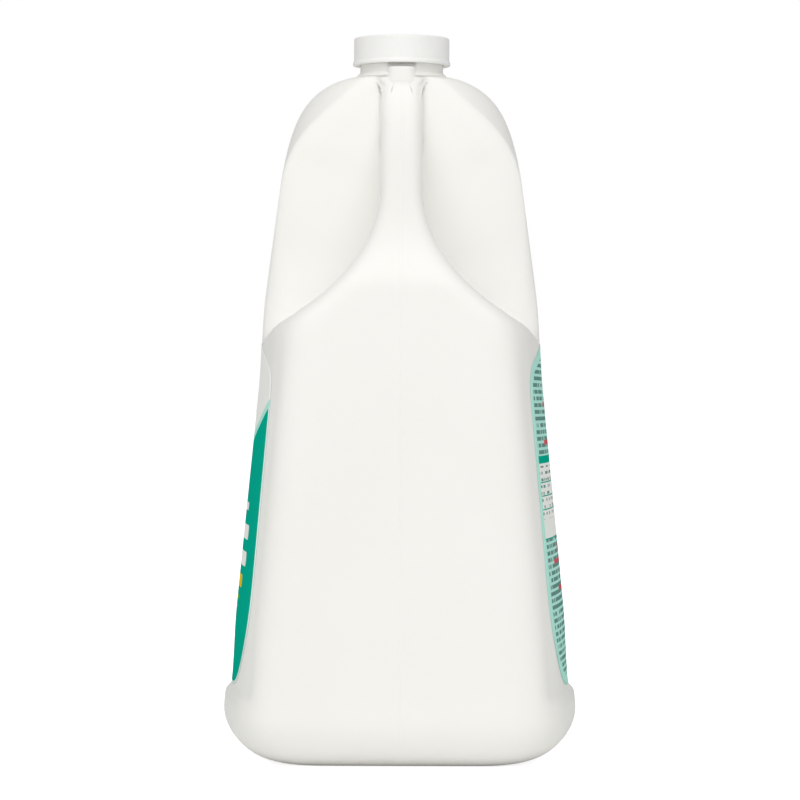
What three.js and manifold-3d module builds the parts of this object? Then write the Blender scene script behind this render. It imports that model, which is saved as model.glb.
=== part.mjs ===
// A shut white plastic jug of household cleaner, standing on its base.
// Millimetres, +Z up. The front label faces -Y and the grip is on the +X side.
// The jug is one blown shell, so each half is a thickness over the plane Y = 0, where the halves meet.

import * as THREE from "three";
import { ParametricGeometry } from "three/addons/geometries/ParametricGeometry.js";
import { mergeVertices } from "three/addons/utils/BufferGeometryUtils.js";
import Module from "manifold-3d";

// Outline seen from the front
const BASE_WIDTH = 212;
const SIDE_HEEL = 20;
const SHOULDER_TOP = 288.3;
const LEFT_TAPER = 0.025;
const LEFT_TURN_LOW = 150;
const LEFT_TURN_POWER = 3;
const LEFT_FULL_POWER = 2.2;

// Half depth, from the middle to the front, by height
const WAIST_HEIGHT = 190;
const WAIST_HALF_DEPTH = 58.1;
const LOWER_TAPER = 0.0995;
const UPPER_TAPER = 0.125;
const SHOULDER_TURN_POWER = 8;
const SHOULDER_FULL_POWER = 3;
const FACE_HEEL_HEIGHT = 20.5;
const FACE_HEEL_DEPTH = 27;
const FACE_RADIUS = 480;

// Upright corners between the faces and the narrow sides
const CORNER_RUN = 24;
const CORNER_POWER = 12;
const NECK_END_POWER = 2;
const ROUNDING_LOW = 200;

// Label panels, set back from the foot's ledge and from the shoulder
const PANEL_SET_BACK = 1.4;
const LEDGE_SET_BACK = 1.1;
const LEDGE_LOW = 25;
const LEDGE_HIGH = 30;
const LEDGE_FADE = 62;
const PANEL_FADE_LOW = 152;
const PANEL_EDGE_IN = 0.87;
const PANEL_EDGE_OUT = 0.98;

// Foot
const PUSH_UP = 2.5;
const PUSH_UP_X = 62;
const PUSH_UP_Y = 34;

// Neck and cap
const NECK_X = -2;
const NECK_RADIUS = 17.8;
const NECK_LOW = 281;
const NECK_FOOT_RADIUS = 18.2;
const RING_RADIUS = 19.6;
const RING_LOW = 287.1;
const RING_UNDER = 0.6;
const RING_HEIGHT = 2;
const CAP_LOW = 292.2;
const CAP_HEIGHT = 11.8;
const CAP_RADIUS = 20.5;
const CAP_LIP = 0.45;
const CAP_LIP_HEIGHT = 1.7;
const CAP_ROUND = 0.7;
const CAP_WALL = 2;
const FIT_GAP = 0.3;

// Handle, running from the neck down to the narrow side
const HANDLE_LOW = 193;
const HANDLE_TOP = 285;
const HANDLE_LOW_X = 104;
const HANDLE_TOP_X = NECK_X + 20;
const HANDLE_TOP_SLOPE = -0.3;
const HANDLE_HALF_WIDTH = 8.8;
const HANDLE_TOP_FLARE = 1.5;
const HANDLE_FLARE_LOW = 262;
const HANDLE_FLARE_HIGH = 282;
const HANDLE_EASE = 8;
const HANDLE_ROUND = 11;
const HANDLE_POWER = 4;
const ROOT_POWER = 12;

// Grip space between the handle and the body
const HOLE = new THREE.Vector2(47, 205);
const HOLE_SIDES = [
  { toward: 189, reach: 19.7 },
  { toward: 46, reach: 15 },
  { toward: -84, reach: 22 },
];
const HOLE_POWER = 7;
const WALL_LEAN = Math.tan(THREE.MathUtils.degToRad(-9));
const WALL_X = 27;
const WALL_RISE = 50;
const WALL_RUN = 3.5;
const ROOT_RADIUS_OUT = 59;
const ROOT_RADIUS_IN = 24;
const ROOT_END_OUT = 181;
const ROOT_END_IN = 188;
const ROOT_STEEPNESS = 7;
const LEDGE_EDGE = 24;
const WALL_EDGE = 26;
const WALL_EDGE_HIGH = 235;

// Tab that carries the handle up to the neck's finish
const TAB_TOP = 290.4;
const TAB_LOW = 279;
const TAB_TOP_HALF = 7.2;
const TAB_WAIST_LOW = 280;
const TAB_WAIST_HIGH = 287.5;
const TAB_INNER_X = NECK_X + 8;
const TAB_OUTER_X = NECK_X + 20.6;
const TAB_SUNK = 1.5;
const TAB_BEVEL = 0.7;

// Labels
const LABEL_LOW = 32;
const LABEL_HIGH = 174;
const LABEL_HALF_WIDTH = 88.5;
const LABEL_LEAN = 2;
const LABEL_SHOULDER_TOWARD = 77;
const LABEL_SHOULDER_REACH = 76.6;
const LABEL_FOOT_TOWARD = -51;
const LABEL_FOOT_REACH = 95.5;
const LABEL_POWER = 18;
const LABEL_CLEAR = 0.6;
const LABEL_THICK = 0.4;

// Fineness of the grids
const RAYS = 114;
const RAY_STEPS = 22;
const FINE_RAYS = 720;
const FINE_STEPS = 400;
const PROBES = 30;
const CHANGE_WEIGHT = 0.8;
const TURN_WEIGHT = 26;
const TURN_CROWDING = 3;
const ROUND_SEGMENTS = 32;
const TAB_ROWS = 8;
const TAB_STEPS = 5;
const CURVE_SEGMENTS = 4;
const LABEL_ROUND = 36;
const LABEL_RINGS = 6;
const WELD = 1e-3;

const wasm = await Module();
wasm.setup();

const clamp01 = (value) => THREE.MathUtils.clamp(value, 0, 1);
const ease = (low, high, value) => THREE.MathUtils.smoothstep(value, low, high);
const lerp = THREE.MathUtils.lerp;

// A quarter curve that falls from 1 to 0 as t goes from 0 to 1.
function quarterCurve(t, turn, full) {
  return (1 - clamp01(t) ** turn) ** (1 / full);
}

// The lesser of two values, with their crossing rounded over a width.
function roundedMin(a, b, width) {
  const share = clamp01(0.5 + (0.5 * (b - a)) / width);
  return lerp(b, a, share) - width * share * (1 - share);
}

// Reach of a many-sided shape with rounded corners from its middle, in a given direction.
function roundedReach(angle, sides, power) {
  let sum = 0;
  for (const { toward, reach } of sides) {
    const facing = Math.cos(angle - THREE.MathUtils.degToRad(toward));
    sum += Math.max(facing / reach, 0) ** power;
  }
  return sum ** (-1 / power);
}

// How far a side draws in at its rounded bottom edge.
function heelInset(z, height, depth) {
  return depth * (1 - quarterCurve(1 - z / height, 2, 2));
}

// Outer edge of the handle: a curve in height with a set slope at each end.
function handleEdge(z) {
  const span = HANDLE_TOP - HANDLE_LOW;
  const u = clamp01((z - HANDLE_LOW) / span);
  const lowSlope = (HANDLE_LOW_X - BASE_WIDTH / 2) / (HANDLE_LOW - SIDE_HEEL);
  const toTop = u * u * (3 - 2 * u);
  const fromLow = u * (1 - u) * (1 - u) * span * lowSlope;
  const fromTop = -u * u * (1 - u) * span * HANDLE_TOP_SLOPE;
  return lerp(HANDLE_LOW_X, HANDLE_TOP_X, toTop) + fromLow + fromTop;
}

function rightEdge(z) {
  if (z > HANDLE_TOP) {
    const over = (z - HANDLE_TOP) / (SHOULDER_TOP - HANDLE_TOP);
    return NECK_X + (HANDLE_TOP_X - NECK_X) * quarterCurve(over, 2, 2);
  }
  if (z > HANDLE_LOW) {
    return handleEdge(z);
  }
  const up = clamp01((z - SIDE_HEEL) / (HANDLE_LOW - SIDE_HEEL));
  return lerp(BASE_WIDTH / 2, HANDLE_LOW_X, up) - heelInset(z, SIDE_HEEL, SIDE_HEEL);
}

function leftEdge(z) {
  const side = BASE_WIDTH / 2 - LEFT_TAPER * Math.max(z - SIDE_HEEL, 0);
  const up = (z - LEFT_TURN_LOW) / (SHOULDER_TOP - LEFT_TURN_LOW);
  const turned = lerp(-NECK_X, side, quarterCurve(up, LEFT_TURN_POWER, LEFT_FULL_POWER));
  return heelInset(z, SIDE_HEEL, SIDE_HEEL) - turned;
}

// Half depth at the middle of the front face.
function halfDepth(z) {
  const above = z - WAIST_HEIGHT;
  const taper = above < 0 ? LOWER_TAPER : UPPER_TAPER;
  const up = above / (SHOULDER_TOP - WAIST_HEIGHT);
  const shoulder = quarterCurve(up, SHOULDER_TURN_POWER, SHOULDER_FULL_POWER);
  return (WAIST_HALF_DEPTH - taper * above) * shoulder - heelInset(z, FACE_HEEL_HEIGHT, FACE_HEEL_DEPTH);
}

function panelSetBack(z, across) {
  const ledge = LEDGE_SET_BACK * (1 - ease(LEDGE_HIGH, LEDGE_FADE, z));
  const step = quarterCurve((LEDGE_HIGH - z) / (LEDGE_HIGH - LEDGE_LOW), 2, 1);
  const inHeight = step * (1 - ease(PANEL_FADE_LOW, WAIST_HEIGHT, z));
  return (PANEL_SET_BACK + ledge) * inHeight * (1 - ease(PANEL_EDGE_IN, PANEL_EDGE_OUT, across));
}

// Half thickness of the jug as if it had no grip: crowned faces with rounded upright corners.
function bodyHalf(x, z) {
  const left = leftEdge(z);
  const right = rightEdge(z);
  const half = (right - left) / 2;
  const off = Math.abs(x - (left + right) / 2);
  const rounding = ease(ROUNDING_LOW, SHOULDER_TOP, z);
  const run = lerp(Math.min(CORNER_RUN, half), half, rounding);
  const power = CORNER_POWER ** (1 - rounding) * NECK_END_POWER ** rounding;
  const crown = (off * off * (1 - rounding)) / (2 * FACE_RADIUS);
  const face = halfDepth(z) - crown - panelSetBack(z, off / half);
  return face * quarterCurve(1 - (half - off) / run, 2, power);
}

// Face of the body behind the handle.
function wallEdge(z) {
  return WALL_X + WALL_LEAN * (z - HOLE.y);
}

// Half width of the handle, a little more at its top.
function handleHalfWidth(z) {
  return HANDLE_HALF_WIDTH + HANDLE_TOP_FLARE * ease(HANDLE_FLARE_LOW, HANDLE_FLARE_HIGH, z);
}

// Half thickness inside the grip: the handle, its flared root and the wall behind it.
function gripHalf(x, z) {
  const right = rightEdge(z);
  const wall = wallEdge(z);
  const outward = clamp01((x - wall) / (right - wall));
  const radius = lerp(ROOT_RADIUS_IN, ROOT_RADIUS_OUT, outward);
  const below = lerp(ROOT_END_IN, ROOT_END_OUT, outward) + radius - z;
  const arch = radius * (1 - quarterCurve(below / radius, 2, 2));
  const root = arch + ROOT_STEEPNESS * Math.max(below - radius, 0);
  const behind = WALL_RISE * Math.sqrt(Math.max(wall - x, 0) / WALL_RUN);
  const power = lerp(HANDLE_POWER, ROOT_POWER, clamp01(root / radius));
  const rounding = quarterCurve(1 - (right - x) / HANDLE_ROUND, 2, power);
  return (handleHalfWidth(z) + root + behind) * rounding;
}

// Half thickness of the handle alone, eased in from the wall behind it.
function handleHalf(x, z) {
  const wall = wallEdge(z);
  const rounding = quarterCurve(1 - (rightEdge(z) - x) / HANDLE_ROUND, 2, HANDLE_POWER);
  return handleHalfWidth(z) * rounding * ease(wall - HANDLE_EASE, wall, x);
}

function halfThickness(x, z) {
  const away = new THREE.Vector2(x, z).sub(HOLE);
  const fromHole = away.length() - roundedReach(away.angle(), HOLE_SIDES, HOLE_POWER);
  const rim = quarterCurve(1 - fromHole / HANDLE_ROUND, 2, HANDLE_POWER);
  const edge = lerp(LEDGE_EDGE, WALL_EDGE, ease(ROOT_END_OUT, WALL_EDGE_HIGH, z));
  return Math.max(roundedMin(bodyHalf(x, z), gripHalf(x, z), edge), handleHalf(x, z)) * rim;
}

// Distance from the middle of the hole to the jug's outline, found by halving.
function outlineReach(ray) {
  let inside = 0;
  let outside = SHOULDER_TOP + BASE_WIDTH;
  while (outside - inside > WELD / 2) {
    const reach = (inside + outside) / 2;
    const x = HOLE.x + ray.x * reach;
    const z = HOLE.y + ray.y * reach;
    const within = z > 0 && z < SHOULDER_TOP && x > leftEdge(z) && x < rightEdge(z);
    if (within) {
      inside = reach;
    } else {
      outside = reach;
    }
  }
  return inside;
}

// Points spread along a line of points, closer together where it turns.
function spread(points, count) {
  const before = new THREE.Vector3();
  const after = new THREE.Vector3();
  const measure = [0];
  for (let i = 1; i < points.length; i++) {
    after.subVectors(points[i], points[i - 1]);
    const length = after.length();
    const turn = i > 1 ? before.angleTo(after) : 0;
    measure.push(measure[i - 1] + length + Math.min(TURN_WEIGHT * turn, TURN_CROWDING * length));
    before.copy(after);
  }
  const result = [];
  let k = 1;
  for (let i = 0; i <= count; i++) {
    const at = (measure[points.length - 1] * i) / count;
    while (k < points.length - 1 && measure[k] < at) {
      k++;
    }
    const share = clamp01((at - measure[k - 1]) / (measure[k] - measure[k - 1]));
    result.push(points[k - 1].clone().lerp(points[k], share));
  }
  return result;
}

// A ray from the middle of the hole, with its reach to the outline and to the rim of the hole.
function rayToward(ray) {
  const outer = outlineReach(ray);
  const inner = roundedReach(ray.angle(), HOLE_SIDES, HOLE_POWER);
  const at = (inward) => ray.clone().multiplyScalar(lerp(outer, inner, inward)).add(HOLE);
  return at;
}

// Outline points, closer together where the thickness changes from one ray to the next.
function outlinePoints() {
  const fine = [];
  let change = 0;
  let before = null;
  for (let i = 0; i <= FINE_RAYS; i++) {
    const angle = (2 * Math.PI * (i % FINE_RAYS)) / FINE_RAYS;
    const at = rayToward(new THREE.Vector2(Math.cos(angle), Math.sin(angle)));
    const halves = [];
    for (let k = 1; k < PROBES; k++) {
      const probe = at(k / PROBES);
      halves.push(halfThickness(probe.x, probe.y));
    }
    const last = before ?? halves;
    change += CHANGE_WEIGHT * Math.max(...halves.map((half, k) => Math.abs(half - last[k])));
    before = halves;
    const edge = at(0);
    fine.push(new THREE.Vector3(edge.x, change, edge.y));
  }
  return spread(fine, RAYS).slice(0, RAYS);
}

// The foot is dished upwards inside a flat standing ring.
function pushUp(x, y) {
  const spread = (x / PUSH_UP_X) ** 2 + (y / PUSH_UP_Y) ** 2;
  return PUSH_UP * Math.max(1 - spread, 0) ** 2;
}

// One section of the front half, from the outline in to the rim of the hole.
function frontSection(edge) {
  const at = rayToward(new THREE.Vector2(edge.x, edge.z).sub(HOLE).normalize());
  const fine = [];
  for (let i = 0; i <= FINE_STEPS; i++) {
    const { x, y: z } = at((1 - Math.cos((Math.PI * i) / FINE_STEPS)) / 2);
    const atEnd = i === 0 || i === FINE_STEPS;
    fine.push(new THREE.Vector3(x, atEnd ? 0 : -halfThickness(x, z), z));
  }
  const section = spread(fine, RAY_STEPS);
  for (const point of section) {
    if (point.z < WELD) {
      point.z = pushUp(point.x, point.y);
    }
  }
  return section;
}

// Body and handle together: sections round the hole, each carried on to the back half.
function shellGeometry() {
  const sections = outlinePoints().map(frontSection);
  const round = 2 * RAY_STEPS;
  const skin = (u, v, target) => {
    const section = sections[Math.round(u * RAYS) % RAYS];
    const step = Math.round(v * round) % round;
    const back = step > RAY_STEPS;
    target.copy(section[back ? round - step : step]);
    target.y *= back ? -1 : 1;
  };
  return new ParametricGeometry(skin, RAYS, round);
}

// Quarter circle in a turned profile, from one angle to another in degrees.
function arcPoints(radius, z, size, from, to) {
  const points = [];
  for (let i = 0; i <= CURVE_SEGMENTS; i++) {
    const angle = THREE.MathUtils.degToRad(lerp(from, to, i / CURVE_SEGMENTS));
    points.push(new THREE.Vector2(radius + size * Math.cos(angle), z + size * Math.sin(angle)));
  }
  return points;
}

// A profile of radius and height, turned about an upright axis through the neck.
function turned(profile) {
  const geometry = new THREE.LatheGeometry(profile, ROUND_SEGMENTS);
  return geometry.rotateX(Math.PI / 2).translate(NECK_X, 0, 0);
}

// Neck with a sloping ring at its foot, stopping under the top of the cap.
function neckGeometry() {
  const top = CAP_LOW + CAP_HEIGHT - CAP_WALL - FIT_GAP;
  const profile = [
    new THREE.Vector2(0, NECK_LOW),
    new THREE.Vector2(NECK_FOOT_RADIUS, NECK_LOW),
    new THREE.Vector2(NECK_FOOT_RADIUS, RING_LOW - RING_UNDER),
    new THREE.Vector2(RING_RADIUS, RING_LOW),
    new THREE.Vector2(NECK_RADIUS, RING_LOW + RING_HEIGHT),
    new THREE.Vector2(NECK_RADIUS, top),
    new THREE.Vector2(0, top),
  ];
  return turned(profile);
}

// The handle's rounded section, carried on up to the neck and narrowing on the way.
function tabGeometry() {
  const round = 2 * TAB_STEPS + 1;
  const topRow = TAB_ROWS + 2;
  const middle = (TAB_INNER_X + TAB_OUTER_X) / 2;
  const skin = (u, v, target) => {
    const row = Math.round(v * (topRow + 1));
    const side = lerp(TAB_LOW, TAB_TOP - TAB_BEVEL, clamp01((row - 1) / TAB_ROWS));
    const z = row < topRow ? side : TAB_TOP;
    const drawnIn = TAB_SUNK * (1 - ease(TAB_LOW, HANDLE_TOP, z)) + (row < topRow ? 0 : TAB_BEVEL);
    const narrow = ease(TAB_WAIST_LOW, TAB_WAIST_HIGH, z);
    const half = lerp(handleHalfWidth(z), TAB_TOP_HALF, narrow) - drawnIn;
    const outer = Math.max(handleEdge(z), TAB_OUTER_X) - drawnIn;
    const across = (Math.round(u * round) % round) / TAB_STEPS - 1;
    const depth = (1 - Math.cos((Math.PI / 2) * across)) * (outer - TAB_INNER_X);
    const y = Math.sign(across) * half * quarterCurve(1 - depth / HANDLE_ROUND, 2, HANDLE_POWER);
    const atEnd = row === 0 || row > topRow;
    target.set(atEnd ? middle : outer - depth, atEnd ? 0 : y, z);
  };
  return new ParametricGeometry(skin, round, topRow + 1);
}

function toSolid(geometry) {
  const bare = new THREE.BufferGeometry();
  bare.setAttribute("position", geometry.getAttribute("position"));
  bare.setIndex(geometry.index);
  const welded = mergeVertices(bare, WELD);
  const corners = welded.index.array;
  const faces = [];
  for (let i = 0; i < corners.length; i += 3) {
    const [a, b, c] = corners.slice(i, i + 3);
    if (a !== b && b !== c && c !== a) {
      faces.push(a, b, c);
    }
  }
  return new wasm.Manifold(
    new wasm.Mesh({
      numProp: 3,
      vertProperties: welded.getAttribute("position").array,
      triVerts: Uint32Array.from(faces),
    }),
  );
}

function toGeometry(solid) {
  const { vertProperties, triVerts } = solid.getMesh();
  const geometry = new THREE.BufferGeometry();
  geometry.setAttribute("position", new THREE.BufferAttribute(vertProperties, 3));
  geometry.setIndex(new THREE.BufferAttribute(triVerts, 1));
  geometry.computeVertexNormals();
  return geometry;
}

function jugGeometry() {
  const shell = toSolid(shellGeometry());
  const neck = toSolid(neckGeometry());
  const tab = toSolid(tabGeometry());
  return toGeometry(shell.add(neck).add(tab));
}

// Cap: a plain cup over the neck, with a rounded top edge and a lip at its foot.
function capGeometry() {
  const top = CAP_LOW + CAP_HEIGHT;
  const lip = CAP_RADIUS + CAP_LIP;
  const bore = NECK_RADIUS + FIT_GAP;
  const lipTop = CAP_LOW + CAP_LIP_HEIGHT;
  const profile = [
    new THREE.Vector2(0, top - CAP_WALL),
    new THREE.Vector2(bore, top - CAP_WALL),
    new THREE.Vector2(bore, CAP_LOW),
    ...arcPoints(lip - CAP_LIP, CAP_LOW + CAP_LIP, CAP_LIP, -90, 0),
    new THREE.Vector2(lip, lipTop - CAP_LIP),
    new THREE.Vector2(CAP_RADIUS, lipTop),
    ...arcPoints(CAP_RADIUS - CAP_ROUND, top - CAP_ROUND, CAP_ROUND, 0, 90),
    new THREE.Vector2(0, top),
  ];
  return toGeometry(toSolid(turned(profile)));
}

// A label lies just clear of its panel: out over its face to the edge and back under it.
function labelGeometry(side) {
  const middle = (LABEL_LOW + LABEL_HIGH) / 2;
  const halfHeight = (LABEL_HIGH - LABEL_LOW) / 2;
  const sides = [
    { toward: LABEL_LEAN, reach: LABEL_HALF_WIDTH },
    { toward: 180 - LABEL_LEAN, reach: LABEL_HALF_WIDTH },
    { toward: LABEL_SHOULDER_TOWARD, reach: LABEL_SHOULDER_REACH },
    { toward: 180 - LABEL_SHOULDER_TOWARD, reach: LABEL_SHOULDER_REACH },
    { toward: LABEL_FOOT_TOWARD, reach: LABEL_FOOT_REACH },
    { toward: 180 - LABEL_FOOT_TOWARD, reach: LABEL_FOOT_REACH },
    { toward: 90, reach: halfHeight },
    { toward: -90, reach: halfHeight },
  ];
  const rings = 2 * LABEL_RINGS + 1;
  const skin = (u, v, target) => {
    const angle = 2 * Math.PI * u;
    const ring = Math.round(v * rings);
    const under = ring > LABEL_RINGS;
    const share = (under ? rings - ring : ring) / LABEL_RINGS;
    const reach = share * roundedReach(angle, sides, LABEL_POWER);
    const x = reach * Math.cos(angle);
    const z = middle + reach * Math.sin(angle);
    const clear = LABEL_CLEAR + (under ? 0 : LABEL_THICK);
    target.set(side * x, side * (bodyHalf(side * x, z) + clear), z);
  };
  return toGeometry(toSolid(new ParametricGeometry(skin, LABEL_ROUND, rings)));
}

function part(name, geometry, color, roughness) {
  const material = new THREE.MeshStandardMaterial({ color, roughness, metalness: 0 });
  const mesh = new THREE.Mesh(geometry, material);
  mesh.name = name;
  return mesh;
}

const pack = new THREE.Group();
pack.name = "pack";
pack.add(part("jug_body", jugGeometry(), 0xf2f1ec, 0.45));
pack.add(part("cap", capGeometry(), 0xf4f4f1, 0.4));

const labels = new THREE.Group();
labels.name = "labels";
labels.add(part("front_label", labelGeometry(-1), 0x0c9c84, 0.35));
labels.add(part("back_label", labelGeometry(1), 0xbfe6da, 0.35));
pack.add(labels);

export default pack;
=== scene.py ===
# %% [markdown]
# # A shut jug of household cleaner
# The real thing is a white jug blown in one piece, with a slanted handle moulded into it, a low
# screw cap and a printed film label on its front and on its back. This lesson dresses the packed
# solids: each visible piece is worked out again with numpy, finer than the solid it stands for,
# and gets a finish made of shader nodes. Everything stays in the frame of the solids, in metres.

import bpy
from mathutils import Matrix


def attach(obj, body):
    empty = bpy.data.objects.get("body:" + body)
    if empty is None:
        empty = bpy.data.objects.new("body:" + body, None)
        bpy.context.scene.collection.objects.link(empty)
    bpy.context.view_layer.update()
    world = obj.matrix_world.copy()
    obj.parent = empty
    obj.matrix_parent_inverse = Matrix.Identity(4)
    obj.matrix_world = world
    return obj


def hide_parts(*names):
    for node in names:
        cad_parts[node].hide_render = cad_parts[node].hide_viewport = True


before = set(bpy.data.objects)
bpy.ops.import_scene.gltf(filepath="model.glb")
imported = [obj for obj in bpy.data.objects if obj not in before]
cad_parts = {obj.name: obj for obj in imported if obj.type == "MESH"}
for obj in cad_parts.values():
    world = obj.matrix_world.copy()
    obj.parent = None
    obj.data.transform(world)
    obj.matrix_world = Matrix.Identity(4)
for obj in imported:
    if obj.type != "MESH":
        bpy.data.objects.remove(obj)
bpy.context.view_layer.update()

# %% Tools that every cell uses
import math

import bmesh
import bpy
import numpy as np
from mathutils import Vector

MM = 0.001
scene = bpy.context.scene
print("one millimetre is", MM, "m in", scene.name)

# %% [markdown]
# ## Two small helpers for surfaces
# A surface is a grid of points that a formula gives. It could be added with Blender's operators,
# but a grid keeps every point where the formula puts it. The quads between neighbouring points
# come from whole arrays of corner numbers. A grid that closes on itself, or that ends in a pole,
# has its equal points merged, and its faces turned outwards.

# %% Grids of points become meshes
MERGE_WITHIN = 1e-4 * MM


def grid_quads(rows, columns, wrap_rows):
    """Corner numbers of the quads between neighbouring points. A row closes on itself, and the last
    row joins the first where the rows wrap."""
    row = np.arange(rows if wrap_rows else rows - 1)[:, None]
    column = np.arange(columns)[None, :]
    next_row = (row + 1) % rows
    next_column = (column + 1) % columns
    corners = [
        row * columns + column,
        row * columns + next_column,
        next_row * columns + next_column,
        next_row * columns + column,
    ]
    return np.stack(corners, axis=-1).reshape(-1, 4)


def surface(name, points, wrap_rows=False):
    """An object from a grid of points in millimetres, with its seams closed and its faces outward."""
    rows, columns = points.shape[:2]
    quads = grid_quads(rows, columns, wrap_rows)
    mesh = bpy.data.meshes.new(name)
    mesh.from_pydata((points.reshape(-1, 3) * MM).tolist(), [], quads.tolist())
    shape = bmesh.new()
    shape.from_mesh(mesh)
    bmesh.ops.remove_doubles(shape, verts=shape.verts, dist=MERGE_WITHIN)
    bmesh.ops.recalc_face_normals(shape, faces=shape.faces)
    shape.to_mesh(mesh)
    shape.free()
    mesh.polygons.foreach_set("use_smooth", np.ones(len(mesh.polygons), bool))
    piece = bpy.data.objects.new(name, mesh)
    scene.collection.objects.link(piece)
    return piece


def told(piece):
    """Prints the size of a piece and how many points and faces it has."""
    low, high = np.array(piece.bound_box).min(0), np.array(piece.bound_box).max(0)
    size = np.round((high - low) / MM, 1).tolist()
    points, faces = len(piece.data.vertices), len(piece.data.polygons)
    print(piece.name, "mm", size, "points", points, "faces", faces)


print("quads of an open tube of 3 by 4 points:", len(grid_quads(3, 4, False)))

# %% [markdown]
# ## The curves that shape the jug
# A blown jug has no sharp edges: flat faces run into round corners. A quarter curve with free
# powers gives such corners, from a true quarter circle to a tight turn after a long flat. A
# rounded least value joins two faces with a soft edge, and a many-sided shape in polar form gives
# the hole for the hand and the outline of the labels.


# %% Curves
def ease(low, high, value):
    """Goes from 0 to 1 between low and high, level at both ends: t squared times (3 - 2 t)."""
    t = np.clip((value - low) / (high - low), 0, 1)
    return t * t * (3 - 2 * t)


def quarter_curve(t, turn, full):
    """Falls from 1 at t = 0 to 0 at t = 1: one less t to the power turn, to the power 1 / full."""
    return (1 - np.clip(t, 0, 1) ** turn) ** (1 / full)


def mix(a, b, share):
    """A share of the way from a to b."""
    return a + (b - a) * share


def rounded_least(a, b, width):
    """The lesser of a and b, less a parabola over the width where they cross."""
    share = np.clip(0.5 + 0.5 * (b - a) / width, 0, 1)
    return mix(b, a, share) - width * share * (1 - share)


def rounded_reach(angle, toward, reach, power):
    """Radius of a many-sided shape: the power mean of cos(angle - side) / reach, turned over."""
    facing = np.cos(np.asarray(angle)[..., None] - np.radians(toward)) / np.asarray(reach)
    return (np.maximum(facing, 0) ** power).sum(axis=-1) ** (-1 / power)


def heel_inset(z, height, depth):
    """How far a side draws in at its round foot: the depth less a quarter ellipse."""
    return depth * (1 - quarter_curve(1 - z / height, 2, 2))


print("quarter curve at half way:", round(float(quarter_curve(0.5, 2, 2)), 3))

# %% [markdown]
# ## The outline
# Seen from the front, the jug is a wide upright block whose left shoulder curves over to the neck
# and whose right side bends in at a third of the height from the top and becomes the handle. Two
# functions of the height, one for each side, say where the outline is.

# %% Outline sizes and functions
BASE_WIDTH = 212.0
SIDE_HEEL = 20.0
SHOULDER_TOP = 288.3
LEFT_TAPER = 0.025
LEFT_TURN_LOW = 150.0
LEFT_TURN_POWER, LEFT_FULL_POWER = 3, 2.2
NECK_X = -2.0
HANDLE_LOW, HANDLE_TOP = 193.0, 285.0
HANDLE_LOW_X, HANDLE_TOP_X = 104.0, NECK_X + 20.0
HANDLE_LOW_SLOPE = (HANDLE_LOW_X - BASE_WIDTH / 2) / (HANDLE_LOW - SIDE_HEEL)
HANDLE_TOP_SLOPE = -0.3


def handle_edge(z):
    """A cubic in the height that meets the side and the neck with the two slopes given."""
    span = HANDLE_TOP - HANDLE_LOW
    u = np.clip((z - HANDLE_LOW) / span, 0, 1)
    from_low = u * (1 - u) ** 2 * span * HANDLE_LOW_SLOPE
    from_top = -(u**2) * (1 - u) * span * HANDLE_TOP_SLOPE
    return mix(HANDLE_LOW_X, HANDLE_TOP_X, u * u * (3 - 2 * u)) + from_low + from_top


def right_edge(z):
    """A tapered side with a round foot, then the handle, then a quarter ellipse over to the neck."""
    up = np.clip((z - SIDE_HEEL) / (HANDLE_LOW - SIDE_HEEL), 0, 1)
    side = mix(BASE_WIDTH / 2, HANDLE_LOW_X, up) - heel_inset(z, SIDE_HEEL, SIDE_HEEL)
    over = quarter_curve((z - HANDLE_TOP) / (SHOULDER_TOP - HANDLE_TOP), 2, 2)
    crest = mix(NECK_X, HANDLE_TOP_X, over)
    return np.where(z > HANDLE_TOP, crest, np.where(z > HANDLE_LOW, handle_edge(z), side))


def left_edge(z):
    """A tapered side with a round foot that a long quarter curve carries over to the neck."""
    side = BASE_WIDTH / 2 - LEFT_TAPER * np.maximum(z - SIDE_HEEL, 0)
    up = (z - LEFT_TURN_LOW) / (SHOULDER_TOP - LEFT_TURN_LOW)
    turned = mix(-NECK_X, side, quarter_curve(up, LEFT_TURN_POWER, LEFT_FULL_POWER))
    return heel_inset(z, SIDE_HEEL, SIDE_HEEL) - turned


heights = np.array([20.0, 150.0, 250.0])
print("left and right at", heights, left_edge(heights).round(1), right_edge(heights).round(1))

# %% [markdown]
# ## How thick the jug is
# The two mould halves meet in the upright plane between front and back, so one number at each
# point of that plane, half the thickness, gives the whole body. The body is deepest near its foot
# and narrows to the shoulder. Its faces are slightly crowned, with shallow panels for the labels
# that step out to a ledge at the foot.

# %% Body thickness
WAIST_HEIGHT, WAIST_HALF_DEPTH = 190.0, 58.1
LOWER_TAPER, UPPER_TAPER = 0.0995, 0.125
SHOULDER_TURN_POWER, SHOULDER_FULL_POWER = 8, 3
FACE_HEEL_HEIGHT, FACE_HEEL_DEPTH = 20.5, 27.0
FACE_RADIUS = 480.0
CORNER_RUN, CORNER_POWER = 24.0, 12.0
NECK_END_POWER, ROUNDING_LOW = 2.0, 200.0
PANEL_SET_BACK, LEDGE_SET_BACK = 1.4, 1.1
LEDGE_LOW, LEDGE_HIGH, LEDGE_FADE = 25.0, 30.0, 62.0
PANEL_FADE_LOW = 152.0
PANEL_EDGE_IN, PANEL_EDGE_OUT = 0.87, 0.98


def half_depth(z):
    """Half depth at the middle of a face: straight tapers below and above the waist, times a
    quarter curve over the shoulder, less the round foot."""
    above = z - WAIST_HEIGHT
    taper = np.where(above < 0, LOWER_TAPER, UPPER_TAPER)
    shoulder = quarter_curve(
        above / (SHOULDER_TOP - WAIST_HEIGHT), SHOULDER_TURN_POWER, SHOULDER_FULL_POWER
    )
    straight = WAIST_HALF_DEPTH - taper * above
    return straight * shoulder - heel_inset(z, FACE_HEEL_HEIGHT, FACE_HEEL_DEPTH)


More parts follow.
